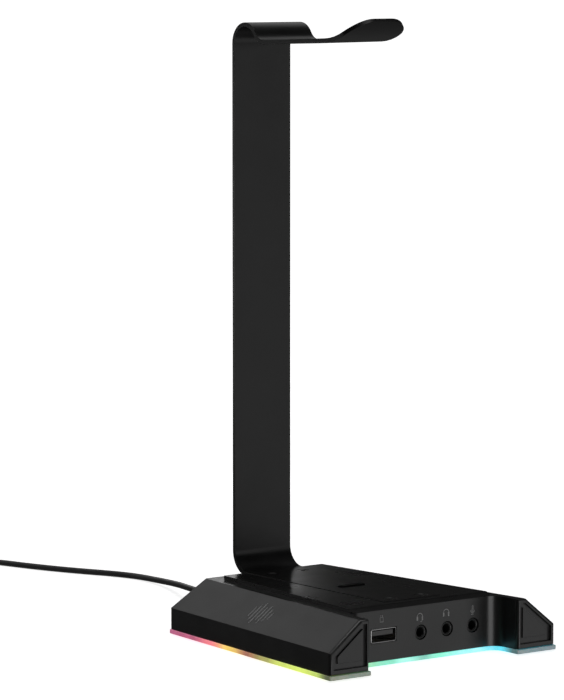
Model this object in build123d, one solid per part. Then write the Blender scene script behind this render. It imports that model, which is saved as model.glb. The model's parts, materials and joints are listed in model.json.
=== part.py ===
from build123d import *
import os
from math import asin, cos, degrees, hypot, pi, radians, tan

# Headphone stand with a lit base. Millimetres, +Z up, -Y is the front with the sockets.
# The origin is on the desk, under the middle of the base.

# ---- base plan: a box that narrows to the rear, with a recess for the sockets in front ----
base_front_half = 60.3
base_rear_half = 47.2
base_half_length = 65.0
taper = (base_front_half - base_rear_half) / (2 * base_half_length)
recess_half = 38.9
recess_y = -50.4
recess_fillet = 5.0
rear_corner = 1.8
front_corner = 0.9

# ---- base heights ----
foot_gap = 0.8
guide_top = 2.6
wall_top = 11.9
roof_z = 23.8
deck_z = 25.4
roof_run = 15.3
rear_run = 5.0

# ---- shells ----
guide_proud = 0.6
wall = 2.0
cap_thickness = 2.0
cap_gap = 0.15
cap_pocket = 1.3
cap_field = 0.5
shell_front = -base_half_length + guide_proud
port_face_y = recess_y + guide_proud
guide_flange = 5.0
rib_outer = 2.8
rib_inner = 4.4
rib_top = 5.0
plate_gap = 0.15
bed_gap = 0.3

# ---- support strip: one flat bar, bent into foot, post, hump, saddle and lip ----
strip_width = 30.0
strip_thickness = 1.8
strip_half = strip_width / 2
strip_front = -42.65
strip_back = 62.0
foot_bend = 9.6
hump_radius = 8.1
hump_fillet = 7.3
hump_drop = 7.3
hump_top = 262.3
saddle_tilt = 2.0
saddle_end = -2.6
lip_radius = 31.4
lip_angle = 41.3
lip_corner = 10.6
strip_floor = roof_z
foot_screw_x = 8.25
foot_screw_y = (-38.3, 42.3)
opening_half = 17.0
opening_y = (-45.0, 47.0)

# ---- mode button ----
button_y = -2.0
button_slot = (14.2, 4.8)
button_play = 0.35
button_proud = 0.5
button_travel = 0.5
flange_size = (16.4, 7.0)
flange_thickness = 1.0

# ---- electronics ----
board_top = 10.35
board_thickness = 1.6
board_half = 36.0
board_y = (-46.9, 14.0)
board_screw_x = 33.0
board_screw_y = (-41.4, 9.5)
usb_x = -20.6
usb_z = 13.2
usb_shell = (13.14, 5.7)
usb_length = 14.0
sheet = 0.3
jack_names = ("headset_jack", "headphone_jack", "microphone_jack")
jack_x = (-1.0, 13.0, 27.0)
jack_z = 12.4
jack_bore = 1.8
jack_nose = 2.85
jack_hole = 3.2
jack_size = (6.4, 12.0)

# ---- lighting ----
led_z = 4.1
strip_outer = 5.45
strip_inner = 5.85

# ---- screws, feet and ballast ----
base_screw_points = [(49.5, -54.0), (43.5, 0.0), (37.5, 54.0)]
boss_radius = 3.0
feet_points = [(46.0, -38.0), (34.0, 44.0)]
feet_radius = 5.5
ballast_half = 30.0
ballast_y = (18.0, 50.0)
ballast_z = (2.8, 5.8)

# ---- cable ----
cable_diameter = 2.8
cable_radius = cable_diameter / 2
exit_z = 8.4
relief_end = 82.0
coil_centre = (-53.0, 284.6)
coil_inner = 9.6
coil_outer = 21.0
coil_low = 0.6
coil_layers = 4
plug_grip = (15.6, 8.4, 24.0)
plug_metal = (12.0, 4.5, 18.6)
plug_z = plug_grip[1] / 2

nodes = {}


def half_width(y):
    """Half the width of the base plan at y."""
    return base_front_half - taper * (y + base_half_length)


def mirrored(points):
    """The same points on both sides of the middle plane."""
    return [(side * x, y) for x, y in points for side in (-1, 1)]


def cylinder(x, y, low, high, radius):
    return Pos(x, y, (low + high) / 2) * Cylinder(radius, high - low)


def block(x_range, y_range, z_range):
    """A box between pairs of coordinates."""
    size = [b - a for a, b in (x_range, y_range, z_range)]
    middle = [(a + b) / 2 for a, b in (x_range, y_range, z_range)]
    return Pos(*middle) * Box(*size)


def slab(sketch, low, high):
    return Pos(0, 0, low) * extrude(sketch, high - low)


def plan(inset):
    """The base plan, moved inwards by inset on every side."""
    slant = inset * hypot(1, taper)
    front = -base_half_length + inset
    rear = base_half_length - inset
    inner = recess_half + inset
    notch = recess_y + inset
    right = [
        (inner, notch),
        (inner, front),
        (half_width(front) - slant, front),
        (half_width(rear) - slant, rear),
    ]
    left = [(-x, y) for x, y in reversed(right)]
    face = make_face(Polyline(*right, *left, close=True))
    corners = face.vertices()
    concave = corners.filter_by(lambda v: abs(v.Y - notch) < 0.01)
    face = fillet(concave, recess_fillet + inset)
    rears = face.vertices().filter_by(lambda v: abs(v.Y - rear) < 0.01)
    face = fillet(rears, max(rear_corner - inset, 0.3))
    fronts = face.vertices().filter_by(lambda v: abs(v.Y - front) < 0.01)
    return fillet(fronts, max(front_corner - inset, 0.2))


def roof_planes(inset):
    """The two side slopes and the rear slope of the roof, moved inwards by inset."""
    rise = roof_z - wall_top
    edge = half_width(0) - guide_proud * hypot(1, taper)
    planes = []
    for side in (-1, 1):
        outward = Vector(side, taper, 0).normalized()
        normal = (outward * rise + Vector(0, 0, roof_run)).normalized()
        origin = Vector(side * edge, 0, wall_top) - normal * inset
        planes.append(Plane(origin=origin, z_dir=normal))
    normal = Vector(0, rise, rear_run).normalized()
    origin = Vector(0, base_half_length - guide_proud, wall_top) - normal * inset
    planes.append(Plane(origin=origin, z_dir=normal))
    return planes


def base_envelope(inset, low):
    """The outside of the upper shell, or its inside when inset is the wall."""
    body = slab(plan(guide_proud + inset), low, roof_z - inset)
    for plane in roof_planes(inset):
        body = split(body, bisect_by=plane, keep=Keep.BOTTOM)
    return body


def obround(length, width, x, y, low, high):
    return Pos(x, y, low) * extrude(SlotOverall(length, width), high - low)


def deck_plan():
    """The raised middle of the roof, with the taper of the base."""
    front_half = 37.0
    rear_half = 26.6
    rear_y = 52.7
    points = [
        (-front_half, port_face_y),
        (front_half, port_face_y),
        (rear_half, rear_y),
        (-rear_half, rear_y),
    ]
    return make_face(Polyline(*points, close=True))


def wing_profile(side_in, slope_in, top_in, inner_in, low_in):
    """Outline of a wing's front face in (x, z), each edge moved inwards by its own amount."""
    slope = (roof_z - wall_top) / roof_run
    lift = slope_in * hypot(1, slope)
    side = half_width(shell_front) - guide_proud * hypot(1, taper)
    inner = recess_half + guide_proud + inner_in
    low = guide_top + low_in
    top = roof_z - top_in
    outer = side - side_in

    def slope_z(x):
        return wall_top + (side - x) * slope - lift

    shoulder = side - (top + lift - wall_top) / slope
    points = [(inner, low), (outer, low), (outer, slope_z(outer))]
    if shoulder > inner + 0.3:
        points += [(shoulder, top), (inner, top)]
    else:
        points += [(inner, slope_z(inner))]
    return points


def wing_prism(points, front, back):
    """A right-hand wing outline, extruded along Y from front to back."""
    face = Plane.XZ * make_face(Polyline(*points, close=True))
    return Pos(0, front, 0) * extrude(face, back - front, dir=(0, 1, 0))


# ---- shells of the base ----

def make_housing():
    shell = base_envelope(0, guide_top) - base_envelope(wall, guide_top - 1)
    # the wings are open in front, where the end caps go
    cap_back = shell_front + cap_thickness
    shell -= block((-70, 70), (-70, cap_back), (0, 30))
    # the top opening that the deck cover plugs
    shell -= block((-opening_half, opening_half), opening_y, (roof_z - 3, roof_z + 1))
    inside = base_envelope(0.6, guide_top)
    for x, y in mirrored(base_screw_points):
        boss = cylinder(x, y, guide_top + 0.2, roof_z, boss_radius) & inside
        shell += boss
        shell -= cylinder(x, y, guide_top, 10.0, 1.0)
    # socket window, jack holes and cable hole
    window = (usb_shell[0] / 2 + 0.2, usb_shell[1] / 2 + 0.2)
    x_window = (usb_x - window[0], usb_x + window[0])
    z_window = (usb_z - window[1], usb_z + window[1])
    shell -= block(x_window, (port_face_y - 1, port_face_y + 3), z_window)
    for x in jack_x:
        hole = Pos(x, port_face_y, jack_z) * Rot(90, 0, 0) * Cylinder(jack_hole, 6)
        shell -= hole
    shell -= Pos(0, base_half_length, exit_z) * Rot(90, 0, 0) * Cylinder(3.0, 8)
    return shell


def make_deck_cover():
    cover = slab(deck_plan(), roof_z, deck_z)
    uprights = cover.edges().filter_by(Axis.Z).group_by(Axis.Y)[0]
    cover = chamfer(uprights, 1.2)
    # the sloping band along the front edge
    band_back = 2.9
    band_height = deck_z - roof_z - 0.1
    normal = Vector(0, -band_height, band_back)
    band = Plane(origin=(0, port_face_y, roof_z + 0.1), z_dir=normal)
    cover = split(cover, bisect_by=band, keep=Keep.BOTTOM)
    # the recess that takes the strip's foot, open to the rear
    bed = (-strip_half - bed_gap, strip_half + bed_gap)
    cover -= block(bed, (strip_front - bed_gap, 60), (strip_floor, deck_z + 1))
    plug_half = opening_half - plate_gap
    plug_y = (opening_y[0] + plate_gap, opening_y[1] - plate_gap)
    cover += block((-plug_half, plug_half), plug_y, (roof_z - wall, roof_z))
    for x, y in screw_spots():
        cover -= cylinder(x, y, roof_z - 3, deck_z, 1.6)
    size = (flange_size[0] + 1.0, flange_size[1] + 1.0)
    cover -= obround(*size, 0, button_y, roof_z - 3, deck_z)
    return cover


def make_end_cap(side):
    """Front cover of a wing: bevelled edge, sunk pocket, raised trapezoid in the pocket."""
    front = shell_front + 0.1
    back = shell_front + cap_thickness
    cap = wing_prism(wing_profile(0.1, 0.1, 0.1, 0.1, 0.1), front, back)
    rim = cap.faces().sort_by(Axis.Y)[0].edges()
    cap = chamfer(rim, 0.45)
    pocket = wing_prism(wing_profile(1.9, 1.9, 1.7, 1.3, 2.1), front - 1, front + cap_pocket)
    field = wing_prism(wing_profile(4.1, 4.0, 2.4, 3.0, 4.6), front + cap_field, front + cap_pocket + 0.2)
    cap = cap - pocket + field
    # a rim on the back that slides into the wing
    spigot_in = wall + cap_gap + 5 * taper
    rim_out = wing_profile(spigot_in, spigot_in, spigot_in, spigot_in, 5.0)
    thick = spigot_in + 1.2
    rim_in = wing_profile(thick, thick, thick, thick, 3.0)
    spigot = wing_prism(rim_out, back, back + 3.0) - wing_prism(rim_in, back, back + 3.0)
    cap += spigot
    return mirror(cap, about=Plane.YZ) if side < 0 else cap


def make_light_guide():
    flange = slab(plan(0), foot_gap, guide_top) - slab(plan(guide_flange), 0, 3)
    rib = slab(plan(rib_outer), foot_gap, rib_top) - slab(plan(rib_inner), 0, 7)
    clear = [cylinder(x, y, 0, 8, boss_radius + 0.4) for x, y in mirrored(base_screw_points)]
    guide = flange + rib
    for gap in clear:
        guide -= gap
    edges = guide.edges().filter_by(GeomType.LINE).filter_by(Plane.XY)
    low = [e for e in edges if e.center().Z < foot_gap + 0.01 and is_outer(e.center())]
    return chamfer(low, 0.25)


def is_outer(point):
    """True for a point on the outer face of the light guide."""
    near_side = abs(abs(point.X) - half_width(point.Y)) < 0.1
    near_end = abs(abs(point.Y) - base_half_length) < 0.1
    return near_side or near_end


def make_bottom_plate():
    plate = slab(plan(guide_flange + plate_gap), foot_gap, guide_top)
    for x, y in board_spots():
        plate += cylinder(x, y, guide_top, board_top - board_thickness, 2.6)
        plate -= cylinder(x, y, guide_top, board_top, 0.95)
    for x, y in mirrored(base_screw_points):
        plate -= cylinder(x, y, 0, 3, 1.3)
        plate -= cylinder(x, y, 0, foot_gap + 1.0, 2.5)
    for x, y in mirrored(feet_points):
        plate -= cylinder(x, y, 0, foot_gap + 0.7, feet_radius + 0.1)
    for x, y in ballast_spots():
        plate -= cylinder(x, y, foot_gap + 0.8, 3, 0.95)
    return plate


# ---- support strip and what holds it ----

def strip_line():
    """Middle line of the bar in (y, z), from the front of the foot to the tip of the lip."""
    middle = strip_floor + strip_thickness / 2
    post_y = strip_back - strip_thickness / 2
    post_top = hump_top - strip_thickness / 2 - hump_radius
    fall = degrees(hump_fall())
    foot = Line((strip_front, middle), (post_y - foot_bend, middle))
    bend = JernArc(foot @ 1, (1, 0), foot_bend, 90)
    post = Line(bend @ 1, (post_y, post_top))
    hump = JernArc(post @ 1, (0, 1), hump_radius, 90 + fall)
    dip = JernArc(hump @ 1, hump % 1, hump_fillet, -fall - saddle_tilt)
    reach = (dip @ 1).X - saddle_end
    saddle = Line(dip @ 1, (saddle_end, (dip @ 1).Y + reach * tan(radians(saddle_tilt))))
    lip = JernArc(saddle @ 1, saddle % 1, lip_radius, -lip_angle)
    return Curve() + [foot, bend, post, hump, dip, saddle, lip]


def hump_fall():
    """Angle through which the bar comes down in front of the hump."""
    reach = hump_radius + hump_fillet
    return pi / 2 - asin(1 - hump_drop / reach)


def screw_spots():
    return [(side * foot_screw_x, y) for side in (-1, 1) for y in foot_screw_y]


def make_support_strip():
    line = strip_line()
    section = make_face(offset(line, strip_thickness / 2, side=Side.BOTH))
    bar = extrude(Plane.YZ * section, strip_half, both=True)
    # the bar is cut off square at both ends
    end = line @ 1
    heading = line % 1
    front_cut = Plane(origin=(0, strip_front, 0), z_dir=(0, -1, 0))
    tip_cut = Plane(origin=(0, end.X, end.Y), z_dir=(0, heading.X, heading.Y))
    bar = split(bar, bisect_by=front_cut, keep=Keep.BOTTOM)
    tail = slab(Rectangle(50, 80), 250, 270)
    lip = split(bar & tail, bisect_by=tip_cut, keep=Keep.BOTTOM)
    bar = (bar - tail) + lip
    tip = [f for f in bar.faces() if abs(f.normal_at().Y + cos(radians(lip_angle + saddle_tilt))) < 0.02]
    tip = sorted(tip, key=lambda f: f.center().Z)[-1]
    corners = [e for e in tip.edges() if abs(e.center().X) > strip_half - 0.1]
    bar = fillet(corners, lip_corner)
    top = strip_floor + strip_thickness
    for x, y in screw_spots():
        bar -= cylinder(x, y, strip_floor - 1, top + 1, 1.6)
        sink = Pos(x, y, top - 0.7) * Cone(1.5, 3.0, 1.6)
        bar -= sink
    return bar - obround(*button_slot, 0, button_y, strip_floor - 1, top + 1)


def make_foot_screws():
    top = strip_floor + strip_thickness
    screws = []
    for x, y in screw_spots():
        head = Pos(x, y, top - 0.8) * Cone(1.4, 2.75, 1.4)
        shank = cylinder(x, y, roof_z - wall - 2.6, top - 1.4, 1.4)
        socket = Pos(x, y, top - 0.9) * extrude(RegularPolygon(1.1, 6), 1.2)
        screws.append(head + shank - socket)
    return screws


def make_backing_plate():
    top = roof_z - wall
    plate = block((-21, 21), (-46.5, 50), (top - 2.0, top))
    for x, y in screw_spots():
        plate -= cylinder(x, y, top - 3, top + 1, 1.45)
    return plate - cylinder(0, button_y, top - 3, top + 1, 2.6)


# ---- mode button and its switch ----

def make_mode_button():
    flange_top = strip_floor - 0.15
    flange_low = flange_top - flange_thickness
    top = strip_floor + strip_thickness + button_proud
    length = button_slot[0] - 2 * button_play
    width = button_slot[1] - 2 * button_play
    cap = obround(length, width, 0, button_y, flange_low, top)
    rim = cap.faces().sort_by(Axis.Z)[-1].edges()
    cap = fillet(rim, 0.35)
    cap += obround(*flange_size, 0, button_y, flange_low, flange_top)
    stem_low = board_top + 4.4
    return cap + cylinder(0, button_y, stem_low, flange_low, 2.0)


def make_switch():
    low = board_top
    half, body_height, well_radius, clearance = 3.0, 3.4, 1.85, 0.3
    plunger_radius, plunger_low, plunger_high = 1.75, low + 2.4, low + 4.4
    body = block((-half, half), (button_y - half, button_y + half), (low, low + body_height))
    well = plunger_low - button_travel - clearance
    body -= cylinder(0, button_y, well, plunger_high, well_radius)
    plunger = cylinder(0, button_y, plunger_low, plunger_high, plunger_radius)
    return body, plunger


# ---- board and sockets ----

def board_spots():
    return [(side * board_screw_x, y) for side in (-1, 1) for y in board_screw_y]


def make_main_board():
    low = board_top - board_thickness
    board = block((-board_half, board_half), board_y, (low, board_top))
    for x, y in board_spots():
        board -= cylinder(x, y, low - 1, board_top + 1, 1.3)
    return board


def make_board_screws():
    screws = []
    for x, y in board_spots():
        head = cylinder(x, y, board_top, board_top + 1.3, 2.1)
        head = fillet(head.faces().sort_by(Axis.Z)[-1].edges(), 0.5)
        head -= block((x - 1.2, x + 1.2), (y - 0.25, y + 0.25), (board_top + 0.8, board_top + 2))
        shank = cylinder(x, y, board_top - 5.5, board_top, 0.9)
        screws.append(head + shank)
    return screws


def rounded_bar(width, height, radius, x, z, front, back):
    """A bar along Y with a rounded rectangular section."""
    face = Plane.XZ * RectangleRounded(width, height, radius)
    return Pos(x, front, z) * extrude(face, back - front, dir=(0, 1, 0))


def make_usb_socket():
    front = port_face_y + 0.1
    back = front + usb_length
    inner = (usb_shell[0] - 2 * sheet, usb_shell[1] - 2 * sheet)
    shell = rounded_bar(*usb_shell, 0.7, usb_x, usb_z, front, back)
    shell -= rounded_bar(*inner, 0.4, usb_x, usb_z, front - 1, back - sheet)
    block_front = back - 4.0
    tongue = rounded_bar(inner[0] - 0.1, inner[1] - 0.1, 0.3, usb_x, usb_z, block_front, back - 0.5)
    tongue_z = (usb_z + 0.05, usb_z + 1.89)
    x_range = (usb_x - 5.55, usb_x + 5.55)
    tongue += block(x_range, (front + 1.0, block_front), tongue_z)
    contacts = []
    for x in (-3.5, -1.0, 1.0, 3.5):
        span = (usb_x + x - 0.5, usb_x + x + 0.5)
        pad = block(span, (front + 2.0, block_front), (tongue_z[0] - 0.15, tongue_z[0]))
        contacts.append(pad)
    return shell, tongue, contacts


def make_jack(x):
    """Jack body on the board, with a round nose in the housing's hole."""
    body_front = port_face_y + wall + 0.2
    nose_front = port_face_y + 0.3
    width, length = jack_size
    x_range = (x - width / 2, x + width / 2)
    y_range = (body_front, body_front + length)
    body = block(x_range, y_range, (board_top, jack_z + 2.6))
    nose_length = body_front - nose_front
    nose = Pos(x, nose_front + nose_length / 2, jack_z) * Rot(90, 0, 0) * Cylinder(jack_nose, nose_length)
    jack = body + nose
    depth = length + nose_length - 1.0
    bore = Pos(x, nose_front + depth / 2, jack_z) * Rot(90, 0, 0) * Cylinder(jack_bore, depth)
    jack -= bore
    mouth = jack.edges().filter_by(GeomType.CIRCLE).sort_by(Axis.Y)
    mouth = [e for e in mouth if abs(e.radius - jack_bore) < 0.01]
    jack = chamfer(mouth[0], 0.35)
    return jack - contact_bar(x, 0.02, 0.4)


def contact_bar(x, play, opening):
    """Leaf contact beside the bore, or the slot for it, which opens into the bore."""
    start = port_face_y + 4.0
    leaf = x + jack_bore + 0.05
    x_range = (leaf - opening, leaf + 0.5 + play)
    y_range = (start - play, start + 6 + play)
    return block(x_range, y_range, (jack_z - 0.7 - play, jack_z + 0.7 + play))


# ---- lighting ----

def make_led_strip():
    return slab(plan(strip_outer), 3.0, 6.4) - slab(plan(strip_inner), 2, 7)


def make_leds():
    """Side-firing lights between the strip and the guide's rib."""
    inset = rib_inner + 0.1
    depth = 0.9
    lights = []
    for y in range(-56, 57, 14):
        slant = (inset + depth / 2) * hypot(1, taper)
        x = half_width(y) - slant
        angle = degrees(asin(taper))
        for side in (-1, 1):
            light = Rot(0, 0, side * angle) * Box(depth, 2.8, 1.6)
            lights.append(Pos(side * x, y, led_z) * light)
    for x in range(-30, 31, 12):
        front = recess_y + inset + depth / 2
        rear = base_half_length - inset - depth / 2
        lights.append(Pos(x, front, led_z) * Box(2.8, depth, 1.6))
        lights.append(Pos(x, rear, led_z) * Box(2.8, depth, 1.6))
    return lights


# ---- weight, feet and base screws ----

def ballast_spots():
    return [(side * 25.0, y) for side in (-1, 1) for y in (22.0, 46.0)]


def make_ballast():
    plate = block((-ballast_half, ballast_half), ballast_y, ballast_z)
    plate = chamfer(plate.edges().filter_by(Axis.Z), 3)
    for x, y in ballast_spots():
        plate -= cylinder(x, y, 0, 9, 1.2)
    return plate


def make_ballast_screws():
    screws = []
    for x, y in ballast_spots():
        head = cylinder(x, y, ballast_z[1], ballast_z[1] + 1.3, 2.1)
        shank = cylinder(x, y, foot_gap + 0.9, ballast_z[1], 0.9)
        screws.append(head + shank)
    return screws


def make_base_screws():
    screws = []
    for x, y in mirrored(base_screw_points):
        head = cylinder(x, y, foot_gap + 0.1, foot_gap + 1.0, 2.3)
        cross = block((x - 1.3, x + 1.3), (y - 0.25, y + 0.25), (0, foot_gap + 0.6))
        cross += block((x - 0.25, x + 0.25), (y - 1.3, y + 1.3), (0, foot_gap + 0.6))
        shank = cylinder(x, y, foot_gap + 1.0, 9.0, 0.95)
        screws.append(head - cross + shank)
    return screws


def make_rubber_feet():
    feet = []
    for x, y in mirrored(feet_points):
        pad = cylinder(x, y, 0, foot_gap + 0.7, feet_radius)
        feet.append(fillet(pad.faces().sort_by(Axis.Z)[0].edges(), 0.4))
    return feet


# ---- cable ----

def cable_route():
    """Points of the cable from the strain relief to the coil, near the desk."""
    lie = cable_radius + 0.15
    return [
        (0.0, relief_end, exit_z),
        (0.0, 95.0, exit_z),
        (3.0, 111.0, 7.7),
        (8.6, 127.0, 6.6),
        (15.2, 143.0, 5.2),
        (21.6, 159.0, 3.5),
        (26.2, 176.0, 2.1),
        (27.2, 193.0, lie),
        (22.8, 207.0, lie),
        (15.4, 221.0, lie),
        (8.4, 237.0, lie),
        (2.8, 253.0, lie),
        (-2.0, 270.0, lie),
        (-9.0, 286.0, lie),
        (-20.0, 297.0, lie),
        (-35.0, 303.0, lie + 0.3),
        (coil_centre[0], coil_centre[1] + coil_outer - cable_radius, coil_low + cable_radius),
    ]


def tail_route():
    """Points of the cable from the coil to the plug."""
    x, y = coil_centre
    high = coil_low + coil_layers * cable_diameter - cable_radius
    start = x - coil_outer + cable_radius
    return [
        (start, y, high),
        (start - 0.8, y - 14.0, high - 1.4),
        (start - 4.6, y - 28.0, 7.4),
        (start - 9.6, y - 42.0, plug_z),
        (start - 12.6, y - 56.0, plug_z),
    ]


def round_path(points):
    """Straight runs joined by the largest arcs that their lengths allow."""
    radii = []
    vectors = [Vector(*b) - Vector(*a) for a, b in zip(points, points[1:])]
    for before, after in zip(vectors, vectors[1:]):
        turn = radians(before.get_angle(after))
        shorter = min(before.length, after.length)
        radii.append(0.45 * shorter / tan(turn / 2))
    print("cable radii", [round(r, 1) for r in radii])
    return FilletPolyline(*points, radius=radii)


def make_tube(points):
    path = round_path(points)
    start = Plane(origin=path @ 0, z_dir=path % 0)
    tube = sweep(start * Circle(cable_radius), path=path)
    expected = pi * cable_radius ** 2 * path.length
    print("cable length", round(path.length, 1), "volume ratio", round(tube.volume / expected, 4))
    return tube


def make_coil():
    low = coil_low
    high = coil_low + coil_layers * cable_diameter
    middle = (coil_inner + coil_outer) / 2
    width = coil_outer - coil_inner
    section = Pos(middle, (low + high) / 2) * RectangleRounded(width, high - low, cable_radius)
    ring = revolve(Plane.XZ * section, Axis.Z)
    return Pos(*coil_centre, 0) * ring


def make_cable_tie():
    """Band round the bundle of turns, on the far left of the coil."""
    low = coil_low - 0.1
    high = coil_low + coil_layers * cable_diameter + 0.1
    middle = (coil_inner + coil_outer) / 2
    width = coil_outer - coil_inner + 0.4
    inside = RectangleRounded(width, high - low, cable_radius)
    outside = RectangleRounded(width + 1.0, high - low + 1.0, cable_radius + 0.5)
    section = Pos(middle, (low + high) / 2) * (outside - inside)
    band = extrude(Plane.XZ * section, 1.5, both=True)
    return Pos(*coil_centre, 0) * Rot(0, 0, 150) * band


def make_strain_relief():
    """Grommet in the rear wall, with a tapering sleeve on the cable."""
    wall_out = base_half_length - guide_proud
    inside = wall_out - wall
    y_axis = Rot(-90, 0, 0)
    head = Pos(0, inside - 1.1, exit_z) * y_axis * Cylinder(3.3, 1.8)
    neck = Pos(0, wall_out - wall / 2 - 0.05, exit_z) * y_axis * Cylinder(2.85, wall + 0.3)
    collar = Pos(0, wall_out + 0.95, exit_z) * y_axis * Cylinder(3.3, 1.7)
    length = relief_end - wall_out - 1.8
    sleeve = Pos(0, relief_end - length / 2, exit_z) * y_axis * Cone(2.7, 1.9, length)
    relief = head + neck + collar + sleeve
    for step in range(4):
        groove_y = wall_out + 4.2 + step * 3.2
        ring = Pos(0, groove_y, exit_z) * y_axis * (Cylinder(5, 0.9) - Cylinder(1.75, 0.9))
        relief -= ring
    return relief


def make_inner_lead():
    back = base_half_length - guide_proud - wall - 2.1
    length = back - board_y[1] - 1.0
    return Pos(0, back - length / 2, exit_z) * Rot(-90, 0, 0) * Cylinder(cable_radius - 0.05, length)


def make_plug():
    """USB plug that lies beside the coil: grip, metal shell, tongue and contacts."""
    width, height, length = plug_grip
    grip = Box(width, length, height)
    grip = fillet(grip.edges().filter_by(Axis.Y), 2.2)
    grip = chamfer(grip.faces().sort_by(Axis.Y)[-1].edges(), 1.2)
    outer_w, outer_h, out = plug_metal
    front = -length / 2
    shell = rounded_bar(outer_w, outer_h, 0.5, 0, 0, front - out, front)
    shell -= rounded_bar(outer_w - 0.6, outer_h - 0.6, 0.3, 0, 0, front - out - 1, front - 1)
    for x in (-2.7, 2.7):
        shell -= block((x - 1.2, x + 1.2), (front - out + 4.5, front - out + 6.9), (0, 4))
    tongue = block((-5.5, 5.5), (front - out + 0.5, front - 1), (-1.8, -0.1))
    contacts = []
    for x in (-3.5, -1.0, 1.0, 3.5):
        y_range = (front - out + 1.5, front - out + 10)
        contacts.append(block((x - 0.5, x + 0.5), y_range, (-0.1, 0.08)))
    return grip, shell, tongue, contacts


def place_plug(shape):
    """Set a plug piece down at the end of the cable's tail."""
    end = Vector(*tail_route()[-1])
    before = Vector(*tail_route()[-2])
    heading = (end - before).normalized()
    middle = end + heading * (plug_grip[2] / 2)
    turn = degrees(asin(heading.X))
    return Pos(middle.X, middle.Y, plug_z) * Rot(0, 0, turn) * shape


# ---- assembly ----

def chip(x, y, width, depth, height):
    x_range = (x - width / 2, x + width / 2)
    y_range = (y - depth / 2, y + depth / 2)
    return block(x_range, y_range, (board_top, board_top + height))


def collect():
    nodes["housing"] = make_housing()
    nodes["deck_cover"] = make_deck_cover()
    nodes["end_cap_left"] = make_end_cap(-1)
    nodes["end_cap_right"] = make_end_cap(1)
    nodes["light_guide"] = make_light_guide()
    nodes["bottom_plate"] = make_bottom_plate()
    nodes["support_strip"] = make_support_strip()
    nodes["foot_screws"] = make_foot_screws()
    nodes["backing_plate"] = make_backing_plate()
    nodes["mode_button"] = make_mode_button()
    nodes["switch_body"], nodes["switch_plunger"] = make_switch()
    nodes["main_board"] = make_main_board()
    nodes["board_screws"] = make_board_screws()
    shell, tongue, contacts = make_usb_socket()
    nodes["usb_socket_shell"] = shell
    nodes["usb_socket_tongue"] = tongue
    nodes["usb_socket_contacts"] = contacts
    for name, x in zip(jack_names, jack_x):
        nodes[name] = make_jack(x)
    nodes["jack_contacts"] = [contact_bar(x, 0, 0) for x in jack_x]
    nodes["audio_chip"] = chip(14.0, -24.0, 7.0, 7.0, 1.2)
    nodes["hub_chip"] = chip(-18.0, -24.0, 6.0, 6.0, 1.0)
    nodes["crystal"] = chip(-8.0, -24.0, 3.2, 2.5, 0.9)
    nodes["lead_header"] = chip(0.0, 9.0, 10.0, 5.0, 4.2)
    nodes["led_strip"] = make_led_strip()
    nodes["leds"] = make_leds()
    nodes["ballast_plate"] = make_ballast()
    nodes["ballast_screws"] = make_ballast_screws()
    nodes["base_screws"] = make_base_screws()
    nodes["rubber_feet"] = make_rubber_feet()
    nodes["strain_relief"] = make_strain_relief()
    nodes["inner_lead"] = make_inner_lead()
    nodes["cable"] = make_tube(cable_route())
    nodes["cable_coil"] = make_coil()
    nodes["cable_tail"] = make_tube(tail_route())
    nodes["cable_tie"] = make_cable_tie()
    grip, metal, insert, pads = make_plug()
    nodes["plug_grip"] = place_plug(grip)
    nodes["plug_shell"] = place_plug(metal)
    nodes["plug_tongue"] = place_plug(insert)
    nodes["plug_contacts"] = [place_plug(pad) for pad in pads]


collect()
os.makedirs("parts", exist_ok=True)
for name, shape in nodes.items():
    solid = Compound(children=list(shape)) if isinstance(shape, list) else shape
    export_step(solid, f"parts/{name}.step")
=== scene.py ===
import json
from math import asin, cos, degrees, hypot, pi, radians, sin, tan

import bmesh
import bpy
from mathutils import Matrix, Vector


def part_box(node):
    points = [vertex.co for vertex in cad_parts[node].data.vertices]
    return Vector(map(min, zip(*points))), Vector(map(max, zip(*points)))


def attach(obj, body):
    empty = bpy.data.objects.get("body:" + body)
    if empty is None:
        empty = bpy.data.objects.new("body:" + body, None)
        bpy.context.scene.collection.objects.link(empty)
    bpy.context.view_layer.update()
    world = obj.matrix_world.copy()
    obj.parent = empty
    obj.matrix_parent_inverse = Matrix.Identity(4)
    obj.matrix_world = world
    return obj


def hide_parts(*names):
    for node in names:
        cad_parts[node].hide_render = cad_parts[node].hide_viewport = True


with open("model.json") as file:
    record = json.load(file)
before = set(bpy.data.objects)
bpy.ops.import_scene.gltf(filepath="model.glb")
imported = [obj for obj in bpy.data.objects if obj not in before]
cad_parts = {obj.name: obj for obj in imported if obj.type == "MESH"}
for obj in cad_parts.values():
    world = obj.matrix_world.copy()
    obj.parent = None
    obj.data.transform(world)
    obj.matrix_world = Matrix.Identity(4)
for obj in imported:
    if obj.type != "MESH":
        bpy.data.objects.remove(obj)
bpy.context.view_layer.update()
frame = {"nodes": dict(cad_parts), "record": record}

# The looks of a headphone stand with a lit base. Lengths are millimetres until place() makes metres.
mm = 0.001


def span(node):
    """Lowest and highest corner of a CAD node, in millimetres."""
    low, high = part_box(node)
    return low / mm, high / mm


# ---- sizes read from the frame ----
guide_low, guide_high = span("light_guide")
shell_low, shell_high = span("housing")
deck_high = span("deck_cover")[1]
strip_low, strip_high = span("support_strip")
button_low, button_high = span("mode_button")
socket_low, socket_high = span("usb_socket_shell")

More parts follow.
